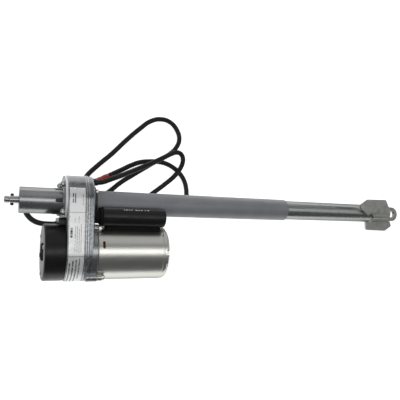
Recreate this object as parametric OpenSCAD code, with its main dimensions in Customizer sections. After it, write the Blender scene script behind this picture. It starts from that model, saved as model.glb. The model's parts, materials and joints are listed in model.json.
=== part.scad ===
// Mains-driven linear actuator: crank stub, gearbox, induction motor with brake and capacitor,
// and a telescopic tube with a bracket at its end.
// Built lying on its side: the screw runs along X, the motor lies beside it towards -Y, and +Z is up.
// Every module is drawn from the screw axis, with X = 0 at the gearbox's rear face, and moved by placed().

/* [Tubes] */
// Outer diameter of the fixed outer tube
outer_tube_od = 32; // [31:0.5:33]
// Outer diameter of the sliding inner tube
inner_tube_od = 28.8; // [28.4:0.1:28.9]
// X of the outer tube's mouth
tube_mouth_x = 331; // [326:1:345]
// X of the front end of the inner tube, with the rod where it is drawn
inner_tube_end_x = 500; // [495:1:520]

/* [Screw] */
// Major diameter of the drive screw
screw_od = 16; // [14:0.5:16]
// X of the screw's front end
screw_end_x = 284; // [275:1:290]
// X of the nut's rear face, with the rod where it is drawn
nut_x = 150; // [150:1:156]

/* [Gearbox] */
// Radius of the lobe round the screw
upper_lobe_r = 34; // [33:0.5:35]
// Radius of the lobe round the motor axis, which the object lies on
lower_lobe_r = 37; // [36.5:0.5:38]
// Thickness of the gearbox walls
wall = 3; // [2.5:0.5:3.5]
// Depth of the rear cover
cover_depth = 23.7; // [23:0.1:24]
// X of the gearbox's front face
gearbox_front_x = 33; // [32:1:34]

/* [Motor] */
// Outer radius of the motor can
motor_r = 35.5; // [34:0.5:35.5]
// X of the joint between motor can and end cap
motor_can_end_x = 126; // [118:1:128]
// Radius of the brake cover
brake_r = 36; // [34:0.5:36.5]
// Depth of the brake cover
brake_depth = 24; // [23:1:30]
// Radius of the run capacitor
capacitor_r = 13; // [11:0.5:13]
// X of the capacitor's front end
capacitor_end_x = 127; // [110:1:128]

/* [Mounts] */
// Diameter of the hand crank stub
stub_d = 9; // [8:0.5:9]
// Outer diameter of the rear housing
rear_housing_od = 33; // [32:0.5:34]
// Diameter of the hole in the front eye
eye_hole_d = 12.2; // [10:0.1:14]

/* [Cords] */
// Outer diameter of every cord
cord_d = 7; // [6:0.5:7.5]

/* [Hidden] */
$fn = 96;

// Distance from the screw axis to the motor axis, set by the two gear stages
axis_gap = 65;
axis_z = lower_lobe_r;
stub_tip_x = -73;
pilot_end_x = -66.8;
neck_x = -66;
neck_end_x = -48;
rear_housing_x = -55.5;
rear_housing_r = rear_housing_od / 2;
plate_t = 3;
split_x = 24.2;
adaptor_x = 39;
outer_r = outer_tube_od / 2;
outer_bore_r = outer_r - 0.9;
rod_r = inner_tube_od / 2;
rod_bore_r = rod_r - 1.6;
screw_r = screw_od / 2;
journal_r = 6;
stub_r = stub_d / 2;
neck_r = stub_r + 0.5;
fit = 0.05;
motor_wall = 2;
shaft_r = 4;
rotor_shaft_r = 6;
cluster_y = -35;
capacitor_y = -18.5;
capacitor_z = 22.5;
capacitor_x = 44;
eye_x = 551;
eye_r = 12;
eye_tip_x = eye_x + eye_r;
flange_r = 22.2;
cord_r = cord_d / 2;
gland_r = 4.5;
label_t = 0.3;
crank_pin_x = -63.5;
crank_pin_l = 15;
crank_pin_r = 2.1;
motor_end_x = motor_can_end_x + 8;
stator_x = [52, 100];
nut_head_w = 6;
nut_length = 36;
nut_pin_r = 2;
bracket_pin_r = 2.5;
bracket_pin_x = 488;
cord_sides = 10;

// Screws round the bearing plate, round the tube flange, and the four motor lugs beside the can
plate_bolt_angles = [40, 120, 240, 320];
plate_bolt_circle_r = 28;
plate_bolt_r = 2.5;
flange_screw_angles = [45:90:315];
flange_screw_circle_r = 19.2;
lug_positions = [[31, 24.5], [31, -24.5], [-31, 24.5], [-31, -24.5]];

// Screw bearings, 12 x 28 x 8, and motor bearings, 8 x 22 x 7
screw_bearing_r = 14;
screw_bearing_w = 8;
motor_bearing_r = 11;
motor_bearing_w = 7;

// Gear train: two stages, 12:48 and 14:42 teeth
pressure_angle = 25;
stage1_module = 1;
stage2_module = 1.25;
pinion_teeth = 12;
cluster_teeth = 48;
cluster_pinion_teeth = 14;
screw_gear_teeth = 42;
stage1_x = [16, 24];
stage2_x = [5, 14];
backlash = 0.1;

// Overall box without the cords, which sets the origin at the middle of its base
overall_x = [stub_tip_x, eye_tip_x];
overall_y = [-axis_gap - lower_lobe_r - label_t, upper_lobe_r];
origin = [(overall_x[0] + overall_x[1]) / 2, (overall_y[0] + overall_y[1]) / 2, -axis_z];

// Cord routes, from exit to end, as points on the cord's middle line
start_lead_route = [[28.6, 32.6, -22.8], [31, 37.5, -26.5], [36, 43.5, -30.5], [43, 50.5, -33],
    [53, 60, -33.5], [66, 72, -33.5], [86, 93, -33.5], [107, 113, -33.5], [122, 125, -33.5],
    [138, 130, -33.5], [153, 127, -33.5], [164, 116, -33.5], [168, 102, -33.5], [163, 89, -33.5],
    [154, 80, -31.5], [142, 72, -27], [128, 64, -26], [114, 55, -29], [96, 43, -33.5],
    [80, 32, -33.5], [66, 20, -33.5], [54, 11, -32], [45, 6, -28.5], [39, 5, -27]];
motor_lead_route = [[39, 26, 7], [47, 27.5, 5.5], [58, 32, 2.5], [70, 37, -2.5], [84, 43.5, -9.5],
    [98, 50, -15.3], [112, 56.5, -18], [126, 63.5, -18.5], [139, 70.5, -19.2], [150, 76.5, -21.3],
    [160, 80.5, -24], [168, 79.5, -26.3], [172, 73.5, -27.3], [171, 64.5, -26.8], [166, 55, -25.7],
    [158, 44.5, -27.2], [147, 34, -31.5], [134, 23.5, -33.5], [118, 12, -33.5], [102, 3, -33.5],
    [90, -7, -33.2], [83, -18, -29], [80, -29, -21]];
supply_cord_route = [[39, 28.5, -9], [47, 32, -11], [58, 38, -16.5], [70, 44.5, -23], [82, 51, -29],
    [94, 57.5, -32.8], [107, 63, -33.5], [121, 65.5, -33.5], [135, 66, -33.5], [148, 64, -33.5],
    [160, 58.5, -33.5], [170, 50.5, -33.5], [177, 40.5, -33.5], [180.5, 29, -33.5],
    [182, 17, -33.5], [188, 6.5, -33.5], [199, 0.5, -33.5], [214, -1, -33.5], [230, 0, -33.5],
    [246, 0, -33.5]];
brake_lead_route = [[-10, -29.2, -19.3], [-17, -29.2, -20.2], [-26, -28.5, -22.5], [-34, -26, -26],
    [-41, -20.5, -30], [-45.5, -13, -32.5], [-46, -4.5, -33.5], [-40, 3, -33.5], [-31, 6.5, -31.5],
    [-21, 6.5, -28.5], [-9, 5, -26]];
sleeve_rings = 2;
connector_x = [246, 282];

// ---- Frame and small helpers ----

module placed() {
    translate(-origin) children();
}

module at_motor() {
    translate([0, -axis_gap, 0]) children();
}

module at_cluster() {
    translate([0, cluster_y, 0]) children();
}

module at_capacitor() {
    translate([0, capacitor_y, capacitor_z]) children();
}

module bar(x0, x1, r) {
    translate([x0, 0, 0]) rotate([0, 90, 0]) cylinder(h = x1 - x0, r = r);
}

module pipe(x0, x1, r, bore) {
    difference() {
        bar(x0, x1, r);
        bar(x0 - 1, x1 + 1, bore);
    }
}

module hex_bar(x0, x1, r) {
    translate([x0, 0, 0]) rotate([0, 90, 0]) cylinder(h = x1 - x0, r = r, $fn = 6);
}

// Extrudes a profile, drawn as Y across and Z up, along X
module along_x(x0, x1) {
    translate([x0, 0, 0]) rotate([90, 0, 90]) linear_extrude(height = x1 - x0) children();
}

// Repeats its children on a circle about the screw axis
module on_circle(r, angles) {
    for (a = angles) translate([0, r * cos(a), r * sin(a)]) children();
}

// ---- Gear teeth ----

function inv_deg(a) = tan(a) * 180 / PI - a;

function tooth_half_angle(r, pitch_r, teeth) =
    90 / teeth - (backlash / pitch_r) * 90 / PI + inv_deg(pressure_angle)
    - inv_deg(acos(min(1, pitch_r * cos(pressure_angle) / r)));

function polar(r, a) = [r * cos(a), r * sin(a)];

// Outline of one gear: a straight root, then an involute flank up to the tip and down again
function gear_points(mod, teeth, phase) =
    let (pitch_r = mod * teeth / 2, base_r = pitch_r * cos(pressure_angle),
        root_r = pitch_r - 1.25 * mod, tip_r = pitch_r + mod,
        low_r = max(root_r, base_r + 0.01), flank = [for (i = [0:3]) low_r + (tip_r - low_r) * i / 3])
    [for (t = [0:teeth - 1]) let (mid = phase + t * 360 / teeth) each concat(
        [polar(root_r, mid - tooth_half_angle(low_r, pitch_r, teeth) - 0.3)],
        [for (r = flank) polar(r, mid - tooth_half_angle(r, pitch_r, teeth))],
        [for (i = [3:-1:0]) polar(flank[i], mid + tooth_half_angle(flank[i], pitch_r, teeth))],
        [polar(root_r, mid + tooth_half_angle(low_r, pitch_r, teeth) + 0.3)])];

module gear(mod, teeth, phase, x) {
    along_x(x[0], x[1]) polygon(gear_points(mod, teeth, phase));
}

// ---- Gearbox outline ----

// Two round lobes and the straight sides between them, shrunk by inset
module lobes(inset) {
    upper = upper_lobe_r - inset;
    lower = lower_lobe_r - inset;
    slope = (lower - upper) / axis_gap;
    rise = sqrt(1 - slope * slope);
    circle(r = upper);
    translate([-axis_gap, 0]) circle(r = lower);
    polygon([[upper * slope, upper * rise], [lower * slope - axis_gap, lower * rise],
        [lower * slope - axis_gap, -lower * rise], [upper * slope, -upper * rise]]);
}

module at_lugs() {
    for (p = lug_positions) translate([0, p[0] - axis_gap, p[1]]) children();
}

// ---- Rear end ----

module rear_housing() {
    pocket_angles = [0:60:300];
    collar_x = -15;
    color("dimgray") placed() difference() {
        union() {
            bar(rear_housing_x, -plate_t, rear_housing_r);
            bar(collar_x, -plate_t, rear_housing_r + 0.4);
        }
        bar(rear_housing_x + 4, -plate_t + 1, screw_bearing_r);
        bar(rear_housing_x - 1, rear_housing_x + 5, neck_r + 0.3);
        for (a = pocket_angles) rotate([a + 30, 0, 0])
            translate([-13, rear_housing_r - 1.6, -2]) cube([8, 4, 4]);
    }
}

module bearing_plate() {
    cut_y = -21;
    color("gainsboro") placed() difference() {
        intersection() {
            bar(-plate_t, 0, upper_lobe_r - 0.5);
            translate([-plate_t - 1, cut_y, -50]) cube([plate_t + 2, 100, 100]);
        }
        bar(-plate_t - 1, 1, screw_r);
        on_circle(plate_bolt_circle_r, plate_bolt_angles) bar(-plate_t - 1, 1, plate_bolt_r);
    }
}

module plate_bolts() {
    color("silver") placed() on_circle(plate_bolt_circle_r, plate_bolt_angles) union() {
        bar(-plate_t, wall, plate_bolt_r);
        hex_bar(-plate_t - 3.5, -plate_t, 4.2);
    }
}

module screw_bearing(x0) {
    difference() {
        bar(x0, x0 + screw_bearing_w, screw_bearing_r);
        bar(x0 - 1, x0 + screw_bearing_w + 1, journal_r + fit);
        pipe(x0 - 1, x0 + 0.6, 11.4, 8.6);
        pipe(x0 + screw_bearing_w - 0.6, x0 + screw_bearing_w + 1, 11.4, 8.6);
    }
}

module rear_screw_bearing() {
    color("silver") placed() screw_bearing(-plate_t - 1 - screw_bearing_w);
}

// ---- Gearbox ----

module gearbox_cover() {
    color("silver") placed() difference() {
        union() {
            difference() {
                along_x(0, cover_depth) lobes(0);
                along_x(wall, cover_depth + 1) lobes(wall);
            }
            at_motor() bar(wall - 0.5, wall + motor_bearing_w, motor_bearing_r + 2.5);
        }
        bar(-1, wall + 1, screw_r);
        at_motor() bar(-1, wall + 1, shaft_r + 1);
        at_motor() bar(wall, wall + motor_bearing_w + 1, motor_bearing_r);
        at_cluster() bar(0.5, wall + 1, shaft_r);
        on_circle(plate_bolt_circle_r, plate_bolt_angles) bar(-1, wall + 1, plate_bolt_r);
    }
}

module gearbox_gasket() {
    color("black") placed() along_x(cover_depth, split_x) difference() {
        lobes(0.2);
        lobes(wall);
    }
}

module gearbox_housing() {
    inner_x = gearbox_front_x - wall;
    hub_r = screw_bearing_r + 3;
    color("darkgray") placed() difference() {
        union() {
            difference() {
                along_x(split_x, gearbox_front_x) lobes(0);
                along_x(split_x - 1, inner_x) lobes(wall);
            }
            bar(gearbox_front_x - screw_bearing_w, gearbox_front_x, hub_r);
            at_motor() pipe(gearbox_front_x - 0.5, adaptor_x, motor_r + 0.3, motor_r - 4);
            at_motor() bar(gearbox_front_x - 0.5, adaptor_x - 1, motor_bearing_r + 3);
            at_lugs() bar(split_x, adaptor_x, 5);
        }
        bar(gearbox_front_x - screw_bearing_w - 1, gearbox_front_x + 1, screw_bearing_r);
        at_motor() bar(inner_x - 1, inner_x + 2, shaft_r + 1);
        at_motor() bar(inner_x + 1, adaptor_x, motor_bearing_r);
        at_cluster() bar(inner_x - 1, gearbox_front_x - 0.5, shaft_r);
        at_lugs() bar(split_x + 4, adaptor_x + 1, 2.5);
    }
}

module rating_label() {
    label_x = [1.5, 20.5];
    color("whitesmoke") placed() along_x(label_x[0], label_x[1]) intersection() {
        difference() {
            lobes(-label_t);
            lobes(0);
        }
        translate([-axis_gap - lower_lobe_r - 1, -4]) square([axis_gap + lower_lobe_r + 17, 60]);
    }
}

module front_screw_bearing() {
    color("silver") placed() screw_bearing(gearbox_front_x - screw_bearing_w);
}

module cluster_shaft() {
    color("silver") placed() at_cluster() bar(0.5, gearbox_front_x - 0.5, shaft_r);
}

module cluster_gear() {
    color("goldenrod") placed() at_cluster() difference() {
        union() {
            gear(stage2_module, cluster_pinion_teeth, 0, [stage2_x[0], stage1_x[0] + 0.5]);
            gear(stage1_module, cluster_teeth, 180 / cluster_teeth, stage1_x);
            bar(wall + 0.4, stage2_x[0] + 0.5, 6.5);
            bar(stage1_x[1] - 0.5, gearbox_front_x - wall - 0.4, 6.5);
        }
        bar(0, gearbox_front_x, shaft_r + fit);
    }
}

// ---- Tubes ----

module outer_tube() {
    color("gray") placed() pipe(gearbox_front_x, tube_mouth_x, outer_r, outer_bore_r);
}

module tube_flange() {
    color("darkslategray") placed() difference() {
        bar(gearbox_front_x, gearbox_front_x + 4, flange_r);
        bar(gearbox_front_x - 1, gearbox_front_x + 5, outer_r);
        on_circle(flange_screw_circle_r, flange_screw_angles)
            bar(gearbox_front_x - 1, gearbox_front_x + 5, 1.5);
    }
}

module flange_screws() {
    color("silver") placed() on_circle(flange_screw_circle_r, flange_screw_angles) union() {
        bar(gearbox_front_x, gearbox_front_x + 4, 1.5);
        hex_bar(gearbox_front_x + 4, gearbox_front_x + 6.5, 2.9);
    }
}

module guide_bush() {
    color("ivory") placed() pipe(tube_mouth_x - 26, tube_mouth_x - 2, outer_bore_r, rod_r + fit);
}

module wiper_seal() {
    color("black") placed() pipe(tube_mouth_x - 2, tube_mouth_x, outer_bore_r, rod_r + fit);
}

// ---- Motor ----

module motor_can() {
    slot_x = [44, 48];
    color("silver") placed() difference() {
        at_motor() pipe(adaptor_x, motor_can_end_x, motor_r, motor_r - motor_wall);
        translate([slot_x[0], -axis_gap + 6, 20]) cube([slot_x[1] - slot_x[0], 9, 30]);
    }
}

module motor_end_cap() {
    corner_r = 6;
    notch_angles = [20:60:320];
    color("silver") placed() at_motor() difference() {
        translate([motor_can_end_x, 0, 0]) rotate([90, 0, 90]) rotate_extrude() {
            square([motor_r, 2]);
            square([motor_r - corner_r, corner_r + 2]);
            translate([motor_r - corner_r, 2]) intersection() {
                circle(r = corner_r);
                square(corner_r);
            }
        }
        bar(motor_can_end_x - 1, motor_end_x - 2.5, motor_bearing_r);
        pipe(motor_can_end_x - 1, motor_end_x - 2.5, motor_r - corner_r, motor_bearing_r + 2.5);
        for (a = notch_angles) rotate([a, 0, 0])
            translate([motor_end_x - 3, motor_r - 6, -3]) cube([4, 7, 6]);
    }
}

module end_cap_screws() {
    color("dimgray") placed() at_motor() on_circle(22, [45:90:315])
        bar(motor_end_x, motor_end_x + 1.6, 3);
}

module motor_bolts() {
    color("silver") placed() at_lugs() union() {
        bar(split_x + 4, adaptor_x, 2.5);
        hex_bar(adaptor_x, adaptor_x + 4, 3.8);
    }
}

module motor_bearing(x0) {
    difference() {
        bar(x0, x0 + motor_bearing_w, motor_bearing_r);
        bar(x0 - 1, x0 + motor_bearing_w + 1, shaft_r + fit);
        pipe(x0 - 1, x0 + 0.5, 8.8, 6);
        pipe(x0 + motor_bearing_w - 0.5, x0 + motor_bearing_w + 1, 8.8, 6);
    }
}

module motor_bearings() {
    color("silver") placed() at_motor() union() {
        motor_bearing(wall);
        motor_bearing(gearbox_front_x - wall + 1);
        motor_bearing(motor_end_x - 2.5 - motor_bearing_w);
    }
}

module stator_core() {
    slot_angles = [0:15:345];
    color("slategray") placed() at_motor() difference() {
        bar(stator_x[0], stator_x[1], motor_r - motor_wall);
        bar(stator_x[0] - 1, stator_x[1] + 1, 19.8);
        for (a = slot_angles) rotate([a, 0, 0])
            translate([stator_x[0] - 1, 22.5, -1.4]) cube([stator_x[1] - stator_x[0] + 2, 6, 2.8]);
    }
}

module stator_windings() {
    end_turn = 8;
    color("sienna") placed() at_motor() union() {
        pipe(stator_x[0] - end_turn, stator_x[0], 30, 21.5);
        pipe(stator_x[1], stator_x[1] + end_turn, 30, 21.5);
    }
}

module rotor_core() {
    color("lightslategray") placed() at_motor() union() {
        pipe(stator_x[0] - 1, stator_x[1] + 1, 19.4, rotor_shaft_r);
        pipe(stator_x[0] - 5, stator_x[0] - 1, 18, 12);
        pipe(stator_x[1] + 1, stator_x[1] + 5, 18, 12);
    }
}

module motor_shaft() {
    color("silver") placed() at_motor() union() {
        bar(-20, adaptor_x, shaft_r);
        bar(adaptor_x, motor_can_end_x - 2.2, rotor_shaft_r);
        bar(motor_can_end_x - 2.2, motor_end_x - 3, shaft_r);
    }
}

module motor_pinion() {
    color("goldenrod") placed() at_motor() difference() {
        gear(stage1_module, pinion_teeth, 0, stage1_x);
        bar(0, gearbox_front_x, shaft_r);
    }
}

// ---- Capacitor ----

module capacitor() {
    edge_r = 1.5;
    color("black") placed() at_capacitor() translate([capacitor_x, 0, 0]) rotate([90, 0, 90])
        rotate_extrude() {
            square([capacitor_r, capacitor_end_x - capacitor_x - edge_r]);
            square([capacitor_r - edge_r, capacitor_end_x - capacitor_x]);
            translate([capacitor_r - edge_r, capacitor_end_x - capacitor_x - edge_r]) intersection() {
                circle(r = edge_r);
                square(edge_r);
            }
        }
}

// A neck that passes the tube flange's screws, then a skirt round the capacitor's end
module capacitor_boot() {
    skirt_x = gearbox_front_x + 6.8;
    color("black") placed() at_capacitor() union() {
        bar(gearbox_front_x, skirt_x + 1, 6.4);
        bar(skirt_x, capacitor_x, capacitor_r - 1.5);
    }
}

module capacitor_cradle() {
    tilt = atan2(capacitor_z, capacitor_y + axis_gap);
    cradle_x = [50, capacitor_end_x - 5];
    color("black") placed() difference() {
        at_motor() rotate([tilt, 0, 0])
            translate([cradle_x[0], motor_r - 2, -8]) cube([cradle_x[1] - cradle_x[0], 8, 16]);
        at_motor() bar(0, 200, motor_r);
        at_capacitor() bar(0, 200, capacitor_r);
    }
}

// ---- Brake ----

module brake_cover() {
    color("black") placed() at_motor() union() {
        pipe(-brake_depth, 0, brake_r, brake_r - 2.5);
        pipe(-brake_depth, -brake_depth + 2, brake_r - 2, 8);
    }
}

module brake_end_plate() {
    color("gray") placed() at_motor() bar(-brake_depth - 2, -brake_depth, brake_r - 1);
}

module brake_end_screws() {
    color("silver") placed() at_motor() on_circle(28, [75:120:315])
        bar(-brake_depth - 3.4, -brake_depth - 2, 2.4);
}

module brake_clip() {
    clip_x = -brake_depth - 2;
    color("black") placed() at_motor() union() {
        translate([clip_x - 2.4, -10, 8]) cube([2.4, 22, 9]);
        translate([0, -3, 12.5]) bar(clip_x - 4, clip_x - 1, 3);
    }
}

module brake_coil() {
    color("saddlebrown") placed() at_motor() pipe(-12, 0, 27, 9);
}

module brake_disc() {
    color("gray") placed() at_motor() pipe(-17, -13, 25, shaft_r);
}

// ---- Screw ----

module drive_screw() {
    color("silver") placed() difference() {
        union() {
            bar(stub_tip_x, pilot_end_x, stub_r);
            bar(pilot_end_x - 0.5, neck_x, stub_r - 0.6);
            bar(neck_x - 0.2, neck_end_x, neck_r);
            bar(neck_end_x, gearbox_front_x + 3, journal_r);
            bar(gearbox_front_x + 3, screw_end_x - 4, screw_r);
            bar(screw_end_x - 4, screw_end_x, 5);
        }
        translate([crank_pin_x, 10, 0]) rotate([90, 0, 0]) cylinder(h = 20, r = crank_pin_r);
    }
}

module crank_pin() {
    color("dimgray") placed() translate([crank_pin_x, crank_pin_l / 2, 0]) rotate([90, 0, 0])
        cylinder(h = crank_pin_l, r = crank_pin_r);
}

module screw_gear() {
    color("goldenrod") placed() difference() {
        union() {
            gear(stage2_module, screw_gear_teeth, 180 / screw_gear_teeth, stage2_x);
            bar(stage2_x[1] - 0.5, stage2_x[1] + 4, 9.5);
        }
        bar(0, gearbox_front_x, journal_r);
    }
}

module screw_lock_nut() {
    nut_end_x = -plate_t - 1 - screw_bearing_w - 0.3;
    color("silver") placed() difference() {
        hex_bar(nut_end_x - 7, nut_end_x, 10.5);
        bar(nut_end_x - 8, nut_end_x + 1, journal_r);
    }
}

module end_stop_washer() {
    color("silver") placed() pipe(screw_end_x - 4, screw_end_x, 12, 5);
}

// ---- Rod ----

module nut_pin_pair(r) {
    for (side = [-1, 1]) translate([nut_x + 21, 0, side > 0 ? 9 : -rod_r]) cylinder(h = rod_r - 9, r = r);
}

module bracket_pin_bar(length) {
    translate([bracket_pin_x, length / 2, 0]) rotate([90, 0, 0]) cylinder(h = length, r = bracket_pin_r);
}

module inner_tube() {
    color("darkgray") placed() difference() {
        pipe(nut_x + nut_head_w, inner_tube_end_x, rod_r, rod_bore_r);
        nut_pin_pair(nut_pin_r);
        bracket_pin_bar(40);
    }
}

module drive_nut() {
    color("ivory") placed() difference() {
        union() {
            bar(nut_x, nut_x + nut_head_w, outer_bore_r - 0.3);
            bar(nut_x, nut_x + nut_length, rod_bore_r);
        }
        bar(nut_x - 1, nut_x + nut_length + 1, screw_r + 0.3);
        nut_pin_pair(nut_pin_r);
    }
}

module nut_pins() {
    color("silver") placed() nut_pin_pair(nut_pin_r);
}

module front_bracket() {
    plate_half = 1.8;
    near_z = rod_r + plate_half;
    far_z = -11;
    web_x = [inner_tube_end_x, 531];
    color("darkgray") placed() difference() {
        union() {
            bar(inner_tube_end_x - 24, inner_tube_end_x + 1, rod_bore_r);
            translate([0, 0, near_z - plate_half]) linear_extrude(height = 2 * plate_half)
                polygon([[468, 12], [484, 22], [524, 23], [529, 13], [534, 5], [533, -6], [500, -6],
                    [494, 0], [486, -4], [472, 4]]);
            translate([0, 0, far_z - plate_half]) linear_extrude(height = 2 * plate_half)
                polygon([[504, -12], [505, -28], [547, -29], [562, -20], [553, -3], [500, 8]]);
            translate([web_x[0], -9, far_z]) cube([web_x[1] - web_x[0], 18, near_z - far_z]);
            translate([web_x[0], -eye_r, -3]) cube([eye_x - web_x[0], 2 * eye_r, 6]);
            translate([eye_x, 0, -3]) cylinder(h = 6, r = eye_r);
        }
        translate([eye_x, 0, -30]) cylinder(h = 60, r = eye_hole_d / 2);
        bracket_pin_bar(40);
    }
}

module bracket_pins() {
    color("dimgray") placed() bracket_pin_bar(2 * rod_r - 0.6);
}

// ---- Cords ----

function unit(v) = v / norm(v);

function route_direction(p, i) =
    i == 0 ? unit(p[1] - p[0])
    : i == len(p) - 1 ? unit(p[i] - p[i - 1])
    : unit(unit(p[i + 1] - p[i]) + unit(p[i] - p[i - 1]));

function ring(centre, d, r) =
    let (side = unit(cross([0, 0, 1], d)), up = cross(d, side))
    [for (k = [0:cord_sides - 1]) let (a = (k + 0.5) * 360 / cord_sides)
        centre + r * (cos(a) * side + sin(a) * up)];

// A tube of flat-sided rings, one at each route point, square to the route there
module cord(route, r) {
    rings = len(route);
    points = [for (i = [0:rings - 1]) each ring(route[i], route_direction(route, i), r)];
    sides = [for (i = [0:rings - 2], k = [0:cord_sides - 1])
        let (a = i * cord_sides + k, b = i * cord_sides + (k + 1) % cord_sides)
        each [[a, b, b + cord_sides], [a, b + cord_sides, a + cord_sides]]];
    first = [for (k = [cord_sides - 1:-1:0]) k];
    last = [for (k = [0:cord_sides - 1]) (rings - 1) * cord_sides + k];
    polyhedron(points = points, faces = concat([first], sides, [last]));
}

module cord_glands() {
    front_glands = [[26, 7], [28.5, -9], [5, -27]];
    lobe_gland_x = 28.6;
    lobe_gland_angle = -35;
    motor_gland_x = 80;
    brake_gland = [-29.2, -19.3];
    brake_gland_angle = atan2(brake_gland[1], brake_gland[0] + axis_gap);
    motor_gland_angle = -30;
    color("black") placed() union() {
        for (p = front_glands) translate([0, p[0], p[1]]) bar(gearbox_front_x, gearbox_front_x + 6, gland_r);
        translate([lobe_gland_x, 0, 0]) rotate([lobe_gland_angle, 0, 0])
            translate([0, upper_lobe_r - 0.2, 0]) rotate([-90, 0, 0]) cylinder(h = 6, r = gland_r);
        translate([0, 5, -26]) bar(-9, -plate_t, gland_r);
        translate([motor_gland_x, -axis_gap, 0]) rotate([motor_gland_angle, 0, 0])
            translate([0, motor_r - 0.2, 0]) rotate([-90, 0, 0]) cylinder(h = 6, r = gland_r);
        translate([0, brake_gland[0], brake_gland[1]]) bar(-10, -2, gland_r);
        difference() {
            at_motor() rotate([brake_gland_angle, 0, 0]) translate([-9, brake_r - 2, -3]) cube([7, 6, 6]);
            at_motor() bar(-brake_depth, 1, brake_r);
        }
    }
}

module start_lead() {
    color("black") placed() cord(start_lead_route, cord_r);
}

module motor_lead() {
    color("black") placed() cord(motor_lead_route, cord_r);
}

// The sleeve covers the supply cord's first rings, and the bare cord starts where it ends
module supply_sleeve() {
    color("orangered") placed() cord([for (i = [0:sleeve_rings]) supply_cord_route[i]], cord_r + 0.6);
}

module supply_cord() {
    color("black") placed()
        cord([for (i = [sleeve_rings:len(supply_cord_route) - 1]) supply_cord_route[i]], cord_r);
}

module supply_connector() {
    color("white") placed() translate([connector_x[0], -9, -axis_z])
        cube([connector_x[1] - connector_x[0], 18, 10]);
}

module brake_lead() {
    color("black") placed() cord(brake_lead_route, cord_r);
}

rear_housing();
bearing_plate();
plate_bolts();
rear_screw_bearing();
gearbox_cover();
gearbox_gasket();
gearbox_housing();
rating_label();
front_screw_bearing();
cluster_shaft();
outer_tube();
tube_flange();
flange_screws();
guide_bush();
wiper_seal();
motor_can();
motor_end_cap();
motor_bolts();
end_cap_screws();
motor_bearings();
stator_core();
stator_windings();
capacitor();
capacitor_boot();
capacitor_cradle();
brake_cover();
brake_end_plate();
brake_end_screws();
brake_clip();
brake_coil();
cord_glands();
start_lead();
motor_lead();
supply_cord();
supply_sleeve();
supply_connector();
brake_lead();
motor_shaft();
motor_pinion();
rotor_core();
brake_disc();
cluster_gear();
drive_screw();
screw_gear();
screw_lock_nut();
end_stop_washer();
crank_pin();
inner_tube();
drive_nut();
nut_pins();
front_bracket();
bracket_pins();
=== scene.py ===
"""The looks of the linear actuator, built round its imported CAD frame. Metres, +Z up."""

import json
import math

import bmesh
import bpy
from mathutils import Matrix, Vector


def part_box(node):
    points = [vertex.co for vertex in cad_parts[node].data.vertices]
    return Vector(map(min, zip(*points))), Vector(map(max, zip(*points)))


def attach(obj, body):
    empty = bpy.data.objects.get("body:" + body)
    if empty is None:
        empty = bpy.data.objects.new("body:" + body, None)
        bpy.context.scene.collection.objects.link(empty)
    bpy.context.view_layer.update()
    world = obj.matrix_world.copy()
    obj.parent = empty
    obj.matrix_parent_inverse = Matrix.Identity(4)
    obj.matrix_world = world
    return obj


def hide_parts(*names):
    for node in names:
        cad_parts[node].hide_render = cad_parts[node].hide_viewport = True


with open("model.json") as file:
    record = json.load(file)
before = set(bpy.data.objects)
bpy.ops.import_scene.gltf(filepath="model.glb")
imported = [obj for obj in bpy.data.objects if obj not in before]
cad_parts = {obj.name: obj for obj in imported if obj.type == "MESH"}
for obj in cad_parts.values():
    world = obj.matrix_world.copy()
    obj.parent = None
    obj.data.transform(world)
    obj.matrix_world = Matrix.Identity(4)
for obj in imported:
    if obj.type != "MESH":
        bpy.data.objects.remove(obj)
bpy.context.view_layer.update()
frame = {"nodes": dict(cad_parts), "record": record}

# ---- Working coordinates: X from the gearbox's rear face, Y and Z from the screw axis ----

GEARBOX_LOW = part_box("gearbox_cover")[0]
TUBE_LOW, TUBE_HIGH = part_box("outer_tube")
HOME = Vector((GEARBOX_LOW.x, (TUBE_LOW.y + TUBE_HIGH.y) / 2, (TUBE_LOW.z + TUBE_HIGH.z) / 2))
MM = 0.001
AXIS_GAP = 0.065
FLOOR_Z = 0.0


def at(x, y, z):
    """A point given from the gearbox's rear face and the screw axis, in the row frame."""
    return HOME + Vector((x, y, z))


SCREW_AXIS = (0.0, 0.0)
MOTOR_AXIS = (-AXIS_GAP, 0.0)
CAPACITOR_AXIS = (-0.0185, 0.0225)


# ---- Camera ----

CAMERA_PLACE = (-0.079, -0.038, 0.629)
CAMERA_TILT = math.radians(-23.1)
CAMERA_PITCH = math.radians(4.0)
CAMERA_ROLL = math.radians(0.9)
SENSOR = 36.0
FOCAL_IN_WIDTHS = 1.184


def make_camera():
    data = bpy.data.cameras.new("camera")
    data.sensor_width = SENSOR
    data.lens = FOCAL_IN_WIDTHS * SENSOR
    data.clip_start = 0.01
    camera = bpy.data.objects.new("camera", data)
    bpy.context.scene.collection.objects.link(camera)
    turn = (Matrix.Rotation(CAMERA_TILT, 4, "Y") @ Matrix.Rotation(CAMERA_PITCH, 4, "X")
            @ Matrix.Rotation(CAMERA_ROLL, 4, "Z"))
    camera.matrix_world = Matrix.Translation(at(*CAMERA_PLACE)) @ turn
    bpy.context.scene.camera = camera


make_camera()


# ---- Node materials ----

NOISE_ROUGHNESS = 0.55


def shade(colour, factor):
    return tuple(c * factor for c in colour)


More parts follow.
